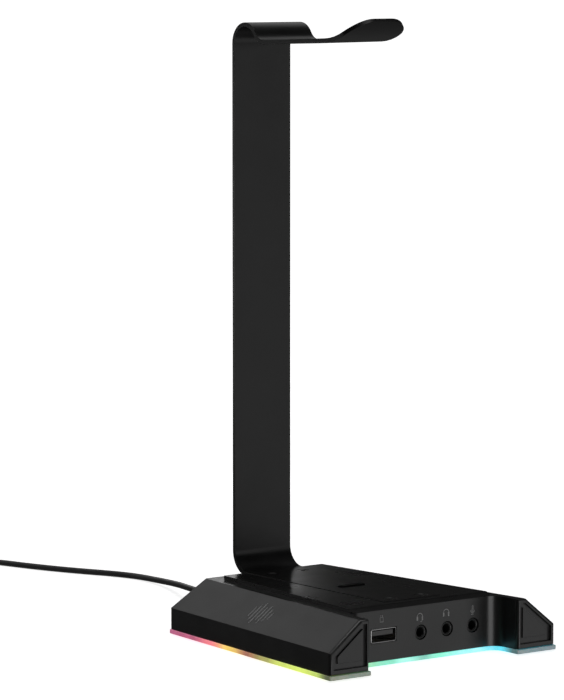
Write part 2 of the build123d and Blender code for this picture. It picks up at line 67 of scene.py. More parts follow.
# ---- base, as the CAD has it ----
front_corner = 0.9
base_length = guide_high.y
base_half = guide_high.x + 0.1 * front_corner
base_rear_half = base_half - 13.1
taper = (base_half - base_rear_half) / (2 * base_length)
recess_half = 38.9
recess_y = -50.4
recess_fillet = 5.0
rear_corner = 1.8
proud = 0.6
foot_gap = guide_low.z
guide_top = shell_low.z
wall_top = 11.9
roof_z = shell_high.z
deck_z = deck_high.z
wall = 2.0
roof_run = 15.3
rear_run = 5.0
flange = 5.0
bed_gap = 0.3
shell_front = -base_length + proud
port_face = recess_y + proud
cap_back = shell_front + 2.0
roof_opening = ((-17.0, 17.0), (-45.0, 47.0))

# ---- support strip ----
strip_half = strip_high.x
strip_thick = 1.8
strip_front = strip_low.y
strip_back = strip_high.y
foot_top = roof_z + strip_thick
foot_bend = 9.6
hump_radius = 8.1
hump_fillet = 7.3
hump_drop = 7.3
hump_top = 262.3
saddle_tilt = 2.0
saddle_end = -2.6
lip_radius = 31.4
lip_angle = 41.3
lip_corner = 10.6
screw_spots = [(side * 8.25, y) for side in (-1, 1) for y in (-38.3, 42.3)]
thread_hole = 1.6

# ---- button, sockets and base screws ----
button_y = (button_low.y + button_high.y) / 2
button_slot = (14.2, 4.8)
button_play = 0.35
button_flange = (16.4, 7.0)
usb_x = (socket_low.x + socket_high.x) / 2
usb_z = (socket_low.z + socket_high.z) / 2
usb_size = (socket_high.x - socket_low.x, socket_high.z - socket_low.z)
jack_names = ("headset_jack", "headphone_jack", "microphone_jack")
jack_x = (-1.0, 13.0, 27.0)
jack_z = 12.4
jack_bore = 1.8
jack_nose = 2.85
jack_hole = 3.2
base_screw_spots = [
    (side * x, y) for x, y in ((49.5, -54.0), (43.5, 0.0), (37.5, 54.0)) for side in (-1, 1)
]
feet_spots = [(side * x, y) for x, y in ((46.0, -38.0), (34.0, 44.0)) for side in (-1, 1)]
foot_sink = 0.7

# ---- cable ----
cable_radius = 1.4
exit_point = (0.0, 82.0, 8.4)
coil_centre = (-53.0, 284.6)
coil_inner = 9.6
coil_outer = 21.0
coil_low = 0.6
coil_layers = 4
coil_turns = 12.25
plug_z = 4.2
plug_size = (15.6, 8.4, 24.0)
plug_metal = (12.0, 4.5, 18.6)


# ---- camera ----

def make_camera():
    """Level with the top of the stand, in front and to the left, looking a little down."""
    data = bpy.data.cameras.new("camera")
    camera = linked("camera", data)
    data.sensor_width = 36.0
    data.lens = 197.5
    data.clip_end = 100.0
    camera.location = (-0.99369, -1.26343, 0.28943)
    camera.rotation_euler = (radians(90 - 5.824), 0, -radians(37.184))
    bpy.context.scene.camera = camera


# ---- mesh helpers ----

def place(name, points, faces, body="stand"):
    """A mesh object from points in millimetres, riding on a body if one is given."""
    mesh = bpy.data.meshes.new(name)
    mesh.from_pydata([Vector(p) * mm for p in points], [], faces)
    work = bmesh.new()
    work.from_mesh(mesh)
    bmesh.ops.remove_doubles(work, verts=work.verts, dist=1e-7)
    bmesh.ops.recalc_face_normals(work, faces=work.faces)
    work.to_mesh(mesh)
    work.free()
    return linked(name, mesh, body)


def linked(name, data, body=None):
    """A new object in the scene that shows data, riding on a body if one is given."""
    piece = bpy.data.objects.new(name, data)
    bpy.context.scene.collection.objects.link(piece)
    if body:
        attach(piece, body)
    return piece


def settle(piece):
    """Turn the piece's modifiers into its mesh."""
    bpy.context.view_layer.update()
    graph = bpy.context.evaluated_depsgraph_get()
    mesh = bpy.data.meshes.new_from_object(piece.evaluated_get(graph))
    piece.modifiers.clear()
    old = piece.data
    piece.data = mesh
    bpy.data.meshes.remove(old)


def combine(piece, other, operation="DIFFERENCE"):
    """Cut the other mesh out of the piece, or add it."""
    modifier = piece.modifiers.new("combine", "BOOLEAN")
    modifier.object = other
    modifier.operation = operation
    modifier.solver = "EXACT"
    settle(piece)
    bpy.data.objects.remove(other)


def soften(piece, width, steps=3, angle=30.0):
    """Round edges sharper than angle by width, and shade the flats flat."""
    crease = radians(40)
    if width:
        bevel = piece.modifiers.new("bevel", "BEVEL")
        bevel.width = width * mm
        bevel.segments = steps
        bevel.limit_method = "ANGLE"
        bevel.angle_limit = radians(angle)
        bevel.miter_outer = "MITER_ARC"
        settle(piece)
    mesh = piece.data
    for face in mesh.polygons:
        face.use_smooth = True
    work = bmesh.new()
    work.from_mesh(mesh)
    for edge in work.edges:
        edge.smooth = edge.calc_face_angle(0.0) < crease
    work.to_mesh(mesh)
    work.free()
    weighted = piece.modifiers.new("weighted", "WEIGHTED_NORMAL")
    weighted.keep_sharp = True
    weighted.weight = 80
    settle(piece)


def skin(loops, ends=True, ring=False):
    """Points and quads between loops of equal length, closed by end faces or into a ring."""
    count = len(loops[0])
    points = [p for loop in loops for p in loop]
    pairs = [(i, i + 1) for i in range(len(loops) - 1)]
    if ring:
        pairs.append((len(loops) - 1, 0))
    faces = []
    for low, high in pairs:
        for i in range(count):
            j = (i + 1) % count
            faces.append((low * count + i, low * count + j, high * count + j, high * count + i))
    if ends and not ring:
        faces.append(tuple(reversed(range(count))))
        last = (len(loops) - 1) * count
        faces.append(tuple(range(last, last + count)))
    return points, faces


def rounded(corners, radii, steps=6):
    """A closed outline in the plane, each corner turned into an arc of steps + 1 points."""
    outline = []
    for i, corner in enumerate(corners):
        here = Vector(corner)
        back = (Vector(corners[i - 1]) - here).normalized()
        onward = (Vector(corners[(i + 1) % len(corners)]) - here).normalized()
        half = back.angle(onward) / 2
        reach = radii[i] / tan(half)
        centre = here + (back + onward).normalized() * (radii[i] / sin(half))
        start = here + back * reach - centre
        turn = start.angle_signed(here + onward * reach - centre)
        for step in range(steps + 1):
            arm = start.copy()
            arm.rotate(Matrix.Rotation(-turn * step / steps, 2))
            outline.append(centre + arm)
    return outline


def rounded_box(width, height, radius, steps=6):
    """A rectangle round the origin with rounded corners."""
    x, y = width / 2, height / 2
    return rounded([(-x, -y), (x, -y), (x, y), (-x, y)], [radius] * 4, steps)


def circle(radius, steps=48):
    """Points of a circle round the origin."""
    angles = [2 * pi * i / steps for i in range(steps)]
    return [(radius * cos(angle), radius * sin(angle)) for angle in angles]


def level(outline, z):
    """A flat outline as points at height z."""
    return [(x, y, z) for x, y in outline]


def block(x_range, y_range, z_range):
    """A plain box, to cut with or to add."""
    corners = ((0, 0), (1, 0), (1, 1), (0, 1))
    return upright("cutter", [(x_range[a], y_range[b]) for a, b in corners], *z_range)


def upright(name, outline, low, high, body=None):
    """A straight piece with an outline in (x, y), from low to high."""
    return place(name, *skin([level(outline, z) for z in (low, high)]), body=body)


def facing(name, outline, front, back):
    """A straight piece with an outline in (x, z), from front to back along Y."""
    return place(name, *skin([[(x, y, z) for x, z in outline] for y in (front, back)]), body=None)


def turned(name, profile, spot, axis="Z", body=None, ring=False):
    """A turned piece: profile in (radius, distance along the axis), placed at spot."""
    loops = []
    for radius, along in profile:
        loop = []
        for x, y in circle(radius):
            local = (x, y, along) if axis == "Z" else (x, along, y)
            loop.append(Vector(local) + Vector(spot))
        loops.append(loop)
    return place(name, *skin(loops, ring=ring), body=body)


def drill(piece, radius, start, end, spot, axis="Z"):
    """Cut a round hole out of a piece, from start to end along the axis through spot."""
    combine(piece, turned("cutter", [(radius, start), (radius, end)], spot, axis))


def dress(piece, slot, material=None):
    """Give a piece the record's slot, and that slot's material unless it has one of its own."""
    piece.data.materials.clear()
    piece.data.materials.append(material or finishes[slot])
    return piece


def join(name, pieces):
    """One object of the stand from several meshes."""
    work = bmesh.new()
    for piece in pieces:
        work.from_mesh(piece.data)
        bpy.data.objects.remove(piece)
    mesh = bpy.data.meshes.new(name)
    work.to_mesh(mesh)
    work.free()
    return linked(name, mesh, "stand")


def close_holes(piece):
    """Fill the open ends of a mesh with flat faces."""
    work = bmesh.new()
    work.from_mesh(piece.data)
    bmesh.ops.holes_fill(work, edges=work.edges, sides=0)
    work.to_mesh(piece.data)
    work.free()


# ---- materials ----

# the part of the noise's range that holds most of its values
noise_low = 0.3
noise_high = 0.7


def new_material(name):
    """A material with its nodes, links and main shader."""
    material = bpy.data.materials.new(name)
    material.use_nodes = True
    nodes, links = material.node_tree.nodes, material.node_tree.links
    shader = nodes["Principled BSDF"]
    return material, nodes, links, shader


def grain(nodes, links, size, detail, stretch=(1, 1, 1)):
    """Noise in the object's own space, with grains of about size millimetres."""
    place_at = nodes.new("ShaderNodeTexCoord")
    scale = nodes.new("ShaderNodeMapping")
    scale.inputs["Scale"].default_value = stretch
    noise = nodes.new("ShaderNodeTexNoise")
    noise.inputs["Scale"].default_value = 1000.0 / size
    noise.inputs["Detail"].default_value = detail
    links.new(place_at.outputs["Object"], scale.inputs["Vector"])
    links.new(scale.outputs["Vector"], noise.inputs["Vector"])
    return noise.outputs["Fac"]


def spread(nodes, links, value, low, high, start=noise_low, end=noise_high):
    """A value that goes from low to high while the given one goes from start to end."""
    ranged = nodes.new("ShaderNodeMapRange")
    ranged.inputs["From Min"].default_value = start
    ranged.inputs["From Max"].default_value = end
    ranged.inputs["To Min"].default_value = low
    ranged.inputs["To Max"].default_value = high
    links.new(value, ranged.inputs["Value"])
    return ranged.outputs["Result"]


def coloured(nodes, links, value, stops):
    """A ramp from a value to colours, its stops given as (position, colour or one value for a grey)."""
    ramp = nodes.new("ShaderNodeValToRGB")
    elements = ramp.color_ramp.elements
    for i, (position, colour) in enumerate(stops):
        element = elements[i] if i < 2 else elements.new(position)
        element.position = position
        element.color = (*colour, 1.0) if isinstance(colour, tuple) else (colour, colour, colour, 1.0)
    links.new(value, ramp.inputs["Fac"])
    return ramp


def tint(nodes, links, value, dark, light):
    """A colour that follows the noise from dark to light."""
    return coloured(nodes, links, value, [(noise_low, dark), (noise_high, light)]).outputs["Color"]


def bumped(nodes, links, shader, height, depth):
    """Raise the surface by depth millimetres where height is one."""
    bump = nodes.new("ShaderNodeBump")
    bump.inputs["Distance"].default_value = depth * mm
    links.new(height, bump.inputs["Height"])
    links.new(bump.outputs["Normal"], shader.inputs["Normal"])


def moulded(name, dark, light, rough, grain_size, depth, specular=0.5):
    """Moulded plastic: fine grain in the surface, with slow changes of colour and gloss."""
    blotch = 14.0
    material, nodes, links, shader = new_material(name)
    fine = grain(nodes, links, grain_size, 3.0)
    slow = grain(nodes, links, blotch, 4.0)
    links.new(tint(nodes, links, slow, dark, light), shader.inputs["Base Color"])
    links.new(spread(nodes, links, slow, rough[0], rough[1]), shader.inputs["Roughness"])
    bumped(nodes, links, shader, fine, depth)
    shader.inputs["Specular IOR Level"].default_value = specular
    return material


def metal(name, dark, light, rough, grain_size, depth, stretch=(1, 1, 1)):
    """Metal with fine machining marks or grain."""
    blotch = 9.0
    material, nodes, links, shader = new_material(name)
    fine = grain(nodes, links, grain_size, 3.0, stretch)
    slow = grain(nodes, links, blotch, 4.0)
    links.new(tint(nodes, links, slow, dark, light), shader.inputs["Base Color"])
    links.new(spread(nodes, links, fine, rough[0], rough[1]), shader.inputs["Roughness"])
    bumped(nodes, links, shader, fine, depth)
    shader.inputs["Metallic"].default_value = 1.0
    return material


def glowing(name, stops):
    """Milky light guide: its glow changes colour round the base, and fades under the wings' tips."""
    dark_y, lit_y = (shell_front + 3.0) * mm, (shell_front + 10.0) * mm
    least_glow = 0.12
    material, nodes, links, shader = new_material(name)
    where = nodes.new("ShaderNodeTexCoord")
    facing_rear = nodes.new("ShaderNodeMapping")
    facing_rear.inputs["Scale"].default_value = (1, -1, 1)
    facing_rear.inputs["Rotation"].default_value = (0, 0, -pi / 2)
    around = nodes.new("ShaderNodeTexGradient")
    around.gradient_type = "RADIAL"
    links.new(where.outputs["Object"], facing_rear.inputs["Vector"])
    links.new(facing_rear.outputs["Vector"], around.inputs["Vector"])
    ramp = coloured(nodes, links, around.outputs["Fac"], stops)
    ramp.color_ramp.interpolation = "EASE"
    slow = grain(nodes, links, 5.0, 3.0)
    fine = grain(nodes, links, 0.5, 2.0)
    split = nodes.new("ShaderNodeSeparateXYZ")
    links.new(where.outputs["Object"], split.inputs["Vector"])
    fade = spread(nodes, links, split.outputs["Y"], least_glow, 1.0, dark_y, lit_y)
    shine = nodes.new("ShaderNodeMath")
    shine.operation = "MULTIPLY"
    links.new(spread(nodes, links, slow, 0.88, 1.12), shine.inputs[0])
    links.new(fade, shine.inputs[1])
    links.new(ramp.outputs["Color"], shader.inputs["Emission Color"])
    links.new(shine.outputs["Value"], shader.inputs["Emission Strength"])
    links.new(tint(nodes, links, slow, 0.38, 0.46), shader.inputs["Base Color"])
    links.new(spread(nodes, links, fine, 0.35, 0.5), shader.inputs["Roughness"])
    bumped(nodes, links, shader, fine, 0.01)
    shader.inputs["Subsurface Weight"].default_value = 0.3
    shader.inputs["Subsurface Scale"].default_value = 0.002
    return material


# colours of the light round the base: share of a turn from the middle of the rear, clockwise from above
rainbow = [
    (0.00, (0.45, 0.10, 0.55)),
    (0.10, (0.20, 0.25, 0.95)),
    (0.22, (0.05, 0.45, 0.95)),
    (0.33, (0.10, 0.55, 0.85)),
    (0.40, (0.05, 0.65, 0.82)),
    (0.415, (0.22, 0.80, 0.86)),
    (0.44, (0.22, 0.86, 0.80)),
    (0.47, (0.11, 0.78, 0.52)),
    (0.50, (0.07, 0.45, 0.34)),
    (0.53, (0.26, 0.86, 0.68)),
    (0.56, (0.08, 0.62, 0.40)),
    (0.60, (0.25, 0.60, 0.25)),
    (0.625, (0.45, 0.60, 0.10)),
    (0.645, (0.67, 0.83, 0.12)),
    (0.675, (0.64, 0.77, 0.12)),
    (0.71, (0.36, 0.34, 0.07)),
    (0.75, (0.33, 0.10, 0.05)),
    (0.795, (0.90, 0.60, 0.10)),
    (0.835, (0.87, 0.18, 0.22)),
    (0.87, (0.43, 0.06, 0.15)),
    (0.93, (0.34, 0.07, 0.20)),
    (1.00, (0.45, 0.10, 0.55)),
]

rubber = moulded("rubber", 0.012, 0.02, (0.65, 0.8), 0.3, 0.02, 0.3)
steel = metal("plain_steel", 0.5, 0.62, (0.25, 0.4), 0.4, 0.006)
printed_ink = moulded("printed_ink", 0.2, 0.27, (0.5, 0.6), 0.2, 0.01, 0.4)
motif_ink = moulded("motif_ink", 0.24, 0.32, (0.4, 0.5), 0.2, 0.01, 0.4)

# the material of each slot in the record
finishes = {
    "housing_plastic": moulded("grained_shell", 0.009, 0.012, (0.30, 0.36), 0.25, 0.008),
    "deck_plastic": moulded("satin_deck", 0.007, 0.009, (0.26, 0.32), 0.5, 0.003, 0.35),
    "diffuser": glowing("light_guide", rainbow),
    "strip_paint": moulded("powder_coat", 0.006, 0.009, (0.28, 0.34), 0.6, 0.005, 0.28),
    "black_screw": metal("blackened_steel", 0.05, 0.09, (0.25, 0.4), 0.3, 0.006),
    "steel_screw": steel,
    "steel": steel,
    "button_plastic": moulded("key_plastic", 0.003, 0.005, (0.4, 0.5), 0.3, 0.006, 0.03),
    "black_plastic": moulded("black_moulding", 0.006, 0.009, (0.36, 0.44), 0.3, 0.01, 0.4),
    "board": moulded("solder_mask", (0.004, 0.06, 0.02), (0.006, 0.09, 0.035), (0.25, 0.4), 0.8, 0.01),
    "board_white": moulded("white_mask", 0.7, 0.8, (0.3, 0.45), 0.8, 0.01),
    "led": moulded("led_body", (0.8, 0.75, 0.5), (0.9, 0.88, 0.75), (0.2, 0.35), 0.3, 0.01),
    "tin_plate": metal("tinned_steel", 0.38, 0.48, (0.2, 0.32), 0.4, 0.004, (1, 6, 1)),
    "gold": metal("gold_flash", (0.75, 0.5, 0.16), (0.85, 0.6, 0.25), (0.15, 0.3), 0.3, 0.003),
    # painted shade: the insulator is a white moulding, given a near-black colour here that stands in for
    # the shade inside the USB socket
    "insulator": moulded("insulator", 0.03, 0.045, (0.3, 0.4), 0.4, 0.01),
    "foot_rubber": rubber,
    "cable_rubber": moulded("cable_jacket", 0.038, 0.048, (0.38, 0.5), 0.35, 0.012, 0.45),
    "tie_rubber": rubber,
    "plug_plastic": moulded("plug_moulding", 0.02, 0.03, (0.4, 0.55), 0.25, 0.02, 0.4),
}


# ---- base ----

def half_width(y):
    """Half the light guide's width where it is at y: the base tapers to the rear."""
    return base_half - taper * (y + base_length)


def base_plan(inset, side=0.0, rear=0.0):
    """The base's outline moved in by inset, with more on the tapering sides or the rear."""
    slant = (inset + side) * hypot(1, taper)
    front = -base_length + inset
    back = base_length - inset - rear
    inner = recess_half + inset
    notch = recess_y + inset
    right = [
        (inner, notch),
        (inner, front),
        (half_width(front) - slant, front),
        (half_width(back) - slant, back),
    ]
    left = [(-x, y) for x, y in reversed(right)]
    tip = max(front_corner - inset, 0.25)
    bend = max(rear_corner - inset, 0.3)
    radii = [recess_fillet + inset, tip, tip, bend]
    return rounded(right + left, radii + radii[::-1])


def sloped(name, inset, low, bend, high, body=None):
    """A solid of the base's plan: upright walls up to bend, then sloping sides and rear."""
    rise = (high - wall_top) / (roof_z - wall_top)
    walls = [level(base_plan(inset), low), level(base_plan(inset), bend)]
    roof = level(base_plan(inset, roof_run * rise, rear_run * rise), high)
    return place(name, *skin([*walls, roof]), body=body)


def make_housing():
    """Upper shell: low walls, sloping sides and rear, flat roof, hollow below."""
    inner_bend, edge_round = wall_top - 0.6, 0.3
    window_gap, gland_hole, beyond = 0.2, 3.0, 80.0
    shell = sloped("base_shell", proud, guide_top, wall_top, roof_z, "stand")
    combine(shell, sloped("cutter", proud + wall, guide_top - 1, inner_bend, roof_z - wall))
    combine(shell, block((-beyond, beyond), (-beyond, cap_back), (-beyond, beyond)))
    combine(shell, block(*roof_opening, (roof_z - wall - 1, roof_z + 1)))
    half_x, half_z = (size / 2 + window_gap for size in usb_size)
    window_y = (port_face - 1, port_face + wall + 1)
    combine(shell, block((usb_x - half_x, usb_x + half_x), window_y, (usb_z - half_z, usb_z + half_z)))
    for x in jack_x:
        drill(shell, jack_hole, -wall - 1, wall + 1, (x, port_face, jack_z), "Y")
    drill(shell, gland_hole, -2 * wall, 2 * wall, (0, base_length, exit_point[2]), "Y")
    soften(shell, edge_round)
    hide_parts("housing")
    dress(shell, "housing_plastic")


def make_deck():
    """Raised cover that plugs the roof's opening, with a bed for the strip's foot."""
    front_half, rear_half, rear_y = 37.0, 26.6, 52.7
    band_back, nick, plug_gap, edge_round = 2.9, 1.2, 0.15, 0.22
    below, above = roof_z - wall - 1, deck_z + 1
    corners = [
        (-front_half + nick, port_face), (front_half - nick, port_face),
        (front_half, port_face + nick), (rear_half, rear_y),
        (-rear_half, rear_y), (-front_half, port_face + nick),
    ]
    cover = upright("deck", corners, roof_z, deck_z, body="stand")
    front_low = roof_z + 0.1 - (deck_z - roof_z) / band_back
    slope = [(x, port_face - 1, front_low) for x in (-base_half, base_half)]
    slope += [(x, port_face + band_back, deck_z) for x in (base_half, -base_half)]
    wedge = [slope, [Vector(p) + Vector((0, -3, 3)) for p in slope]]
    combine(cover, place("cutter", *skin(wedge), body=None))
    bed = strip_half + bed_gap
    combine(cover, block((-bed, bed), (strip_front - bed_gap, base_length), (roof_z - 1, above)))
    plug = [(low + plug_gap, high - plug_gap) for low, high in roof_opening]
    combine(cover, block(*plug, (roof_z - wall, roof_z)), "UNION")
    combine(cover, upright("cutter", slot_outline(*(size + 1 for size in button_flange)), below, above))
    for x, y in screw_spots:
        drill(cover, thread_hole, below, above, (x, y, 0))
    soften(cover, edge_round)
    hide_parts("deck_cover")
    dress(cover, "deck_plastic")


def wing_outline(hand, insets):
    """Outline of a wing's front in (x, z), each edge moved in by its own amount.

    The insets are those of the side, the slope, the top, the inner edge and the lower edge.
    """
    side_in, slope_in, top_in, inner_in, low_in = insets
    least_top = 0.3
    slope = (roof_z - wall_top) / roof_run
    lift = slope_in * hypot(1, slope)
    side = half_width(shell_front) - proud * hypot(1, taper)
    inner = recess_half + proud + inner_in
    low = guide_top + low_in
    top = roof_z - top_in
    outer = side - side_in
    points = [(inner, low), (outer, low), (outer, wall_top + side_in * slope - lift)]
    shoulder = side - (top + lift - wall_top) / slope
    if shoulder > inner + least_top:
        points += [(shoulder, top), (inner, top)]
    else:
        points.append((inner, wall_top + (side - inner) * slope - lift))
    return [(hand * x, z) for x, z in points]


def make_end_cap(side):
    """Cover on the front of a wing: rounded rim, deep pocket, raised field in the pocket."""
    front = shell_front + 0.1
    rim_depth, pocket_depth, field_gap, steps = 1.4, 1.3, 0.5, 6
    rim_widths = (0.8, 1.3, 0.6, 0.9, 0.45)
    pocket_insets = (1.9, 1.9, 1.7, 1.3, 2.1)
    field_insets = (4.1, 4.0, 2.4, 3.0, 4.6)
    edge_round = 0.12
    loops = []
    for i in range(steps + 1):
        angle = pi / 2 * i / steps
        share = 1 - sin(angle)
        outline = wing_outline(side, [0.1 + share * width for width in rim_widths])
        loops.append([(x, front + rim_depth * (1 - cos(angle)), z) for x, z in outline])
    loops.append([(x, cap_back, z) for x, _, z in loops[-1]])
    cap = place("cap", *skin(loops), body=None)
    combine(cap, facing("cutter", wing_outline(side, pocket_insets), front - 1, front + pocket_depth))
    field = wing_outline(side, field_insets)
    field = facing("field", field, front + field_gap, front + pocket_depth + 0.2)
    soften(field, edge_round, 2)
    combine(cap, field, "UNION")
    name = "left" if side < 0 else "right"
    cap.name = f"wing_cap_{name}"
    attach(cap, "stand")
    soften(cap, edge_round, 2, 45)
    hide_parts(f"end_cap_{name}")
    dress(cap, "housing_plastic")


def make_light_guide():
    """Clear rim under the shell, with a rib inside, glowing along its length."""
    edge, nip = 0.25, 0.07
    rib_out, rib_in, rib_top = 2.8, 4.4, 5.0
    profile = [
        (edge, foot_gap), (nip, foot_gap + nip), (0.0, foot_gap + edge),
        (0.0, guide_top - edge), (nip, guide_top - nip), (edge, guide_top),
        (rib_out, guide_top), (rib_out, rib_top), (rib_in, rib_top), (rib_in, guide_top),
        (flange, guide_top), (flange, foot_gap),
    ]
    loops = [level(base_plan(inset), z) for inset, z in profile]
    guide = place("glow_rim", *skin(loops, ring=True))
    soften(guide, 0)
    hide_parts("light_guide")
    dress(guide, "diffuser")


def make_bottom_plate():
    """Plate that closes the base from below, with sunk screw heads and feet."""
    inset, edge_round = flange + 0.15, 0.12
    plate = upright("floor_plate", base_plan(inset), foot_gap, guide_top, body="stand")
    for radius, depth, spots in ((2.5, 1.0, base_screw_spots), (5.6, foot_sink, feet_spots)):
        for x, y in spots:
            drill(plate, radius, -1.0, foot_gap + depth, (x, y, 0))
    soften(plate, edge_round, 2)
    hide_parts("bottom_plate")
    dress(plate, "housing_plastic", finishes["black_plastic"])


# ---- support strip ----

def strip_path():
    """Middle line of the strip as (y, z, heading, distance), from the foot to the tip."""
    fewest, degrees_each = 6, 6
    state = {"y": strip_front, "z": roof_z + strip_thick / 2, "turn": 0.0, "far": 0.0}
    path = [tuple(state.values())]

    def step(length, turn):
        middle = state["turn"] + turn / 2
        state["y"] += length * cos(middle)
        state["z"] += length * sin(middle)
        state["turn"] += turn
        state["far"] += length
        path.append(tuple(state.values()))

    def run(length, parts):
        for _ in range(parts):
            step(length / parts, 0.0)

    def arc(radius, turn):
        parts = max(fewest, round(abs(degrees(turn)) / degrees_each))
        chord = 2 * radius * sin(abs(turn) / parts / 2)
        for _ in range(parts):
            step(chord, turn / parts)

    post_y = strip_back - strip_thick / 2
    run(post_y - foot_bend - strip_front, 12)
    arc(foot_bend, pi / 2)
    run(hump_top - strip_thick / 2 - hump_radius - state["z"], 10)
    fall = pi / 2 - asin(1 - hump_drop / (hump_radius + hump_fillet))
    arc(hump_radius, pi / 2 + fall)
    arc(hump_fillet, -fall - radians(saddle_tilt))
    run((state["y"] - saddle_end) / cos(radians(saddle_tilt)), 4)
    arc(lip_radius, -radians(lip_angle))
    return path


def strip_rows(path):
    """The path with more rows where the tip's corners are round, each with its half width."""
    steps, least_step = 12, 0.3
    length = path[-1][3]
    last = Vector(path[-1][:2])
    rows = [(*p[:3], strip_half) for p in path if p[3] < length - lip_corner - least_step]
    for i in range(steps + 1):
        angle = pi / 2 * i / steps
        left = lip_corner * (1 - sin(angle))
        turn = left / lip_radius
        heading = path[-1][2] + turn / 2
        chord = 2 * lip_radius * sin(turn / 2)
        spot = last - chord * Vector((cos(heading), sin(heading)))
        width = strip_half - lip_corner + lip_corner * cos(angle)
        rows.append((spot.x, spot.y, path[-1][2] + turn, width))
    return rows


def make_strip():
    """Bent bar with rounded edges, screw holes and the slot for the button."""
    shares = (-1.0, -0.5, 0.0, 0.5, 1.0)
    sink = [(thread_hole, -strip_thick - 1), (thread_hole, -1.25), (3.0, 0.05), (3.1, 1.0)]
    edge_round = 0.3
    loops = []
    for y, z, heading, width in strip_rows(strip_path()):
        normal = Vector((-sin(heading), cos(heading))) * strip_thick / 2
        upper = [(width * share, y + normal.x, z + normal.y) for share in shares]
        lower = [(width * share, y - normal.x, z - normal.y) for share in reversed(shares)]
        loops.append(upper + lower)
    strip = place("bent_strip", *skin(loops))
    combine(strip, upright("cutter", slot_outline(*button_slot), roof_z - 1, foot_top + 1))
    for x, y in screw_spots:
        combine(strip, turned("cutter", sink, (x, y, foot_top)))
    soften(strip, edge_round, 3, 50)
    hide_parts("support_strip")
    dress(strip, "strip_paint")


def slot_outline(length, width, steps=12):
    """A slot with round ends along X, round the button's place."""
    radius = width / 2
    reach = length / 2 - radius
    points = []
    for side in (1, -1):
        for i in range(steps + 1):
            angle = -pi / 2 + pi * i / steps
            points.append((side * (reach + radius * cos(angle)), button_y + side * radius * sin(angle)))
    return points


def make_foot_screws():
    """Countersunk screws with a hex socket, their heads level with the foot."""
    steps, sixth = 48, pi / 3
    thread, thread_end = 1.4, roof_z - 4.0
    head = [(1.35, -1.5), (2.6, -0.25), (2.72, -0.12), (2.66, -0.02), (2.5, 0.0)]
    hex_corner = 1.1
    hex_socket = [(1.12, 0.0), (1.0, -0.12), (1.0, -1.0)]
    top = foot_top - 0.1
    hexagon = []
    for i, (x, y) in enumerate(circle(hex_corner * cos(sixth / 2), steps)):
        stretch = 1 / cos((2 * pi * i / steps) % sixth - sixth / 2)
        hexagon.append((x * stretch, y * stretch))
    screws = []
    for x, y in screw_spots:
        loops = [[(x + a, y + b, thread_end) for a, b in circle(thread, steps)]]
        loops += [[(x + a, y + b, top + drop) for a, b in circle(r, steps)] for r, drop in head]
        for grow, drop in hex_socket:
            loops.append([(x + a * grow, y + b * grow, top + drop) for a, b in hexagon])
        screws.append(place("screw", *skin(loops), body=None))
    whole = join("strip_screws", screws)
    soften(whole, 0)
    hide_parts("foot_screws")
    dress(whole, "black_screw")


def make_button():
    """Mode button in the foot's slot, with a flange and stem below, domed on top."""
    stands_out, below_strip, flange_thick, stem_radius, overlap = 0.5, 0.15, 1.0, 2.0, 0.02
    dome = ((0.0, 0.55), (0.05, 0.3), (0.18, 0.12), (0.4, 0.03), (0.8, 0.0))
    top = button_high.z
    low = top - stands_out - strip_thick - below_strip
    flange_low = low - flange_thick
    length, width = (size - 2 * button_play for size in button_slot)
    loops = [level(slot_outline(length, width), low)]
    for inset, drop in dome:
        loops.append(level(slot_outline(length - 2 * inset, width - 2 * inset), top - drop))
    cap = place("button", *skin(loops), body=None)
    rim = upright("rim", slot_outline(*button_flange), flange_low, low + overlap)
    stem = [(stem_radius, button_low.z), (stem_radius, flange_low + overlap)]
    stem = turned("stem", stem, (0, button_y, 0))
    combine(cap, rim, "UNION")
    combine(cap, stem, "UNION")
    cap.name = "mode_key"
    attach(cap, "button")
    soften(cap, 0)
    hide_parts("mode_button")
    dress(cap, "button_plastic")


# ---- sockets ----

def make_usb_shell():
    """Folded sheet sleeve of the USB socket, with a rolled front edge and spring windows."""
    front, back, sheet = socket_low.y, socket_high.y, 0.3
    spring_x, spring_half, spring_y = 3.2, 1.1, (front + 4, front + 8)
    sections = [
        (0.1, 0.7, front), (0.03, 0.7, front + 0.03), (0.0, 0.7, front + 0.1), (0.0, 0.7, back),
        (sheet, 0.4, back - sheet), (sheet, 0.4, front + 0.12), (0.75 * sheet, 0.5, front),
    ]
    shell = place("usb_sleeve", *skin([section(*sizes) for sizes in sections], ring=True))
    for side in (-1, 1):
        spring = (usb_x + side * spring_x - spring_half, usb_x + side * spring_x + spring_half)
        combine(shell, block(spring, spring_y, (usb_z + 1.5, usb_z + 4)))
        combine(shell, block(spring, spring_y, (usb_z - 4, usb_z - 1.5)))
    soften(shell, 0)
    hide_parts("usb_socket_shell")
    dress(shell, "tin_plate")


def section(inset, radius, y):
    """Outline of the USB socket moved in by inset, with rounded corners, at y."""
    width, height = (size - 2 * inset for size in usb_size)
    return [(usb_x + x, y, usb_z + z) for x, z in rounded_box(width, height, radius)]


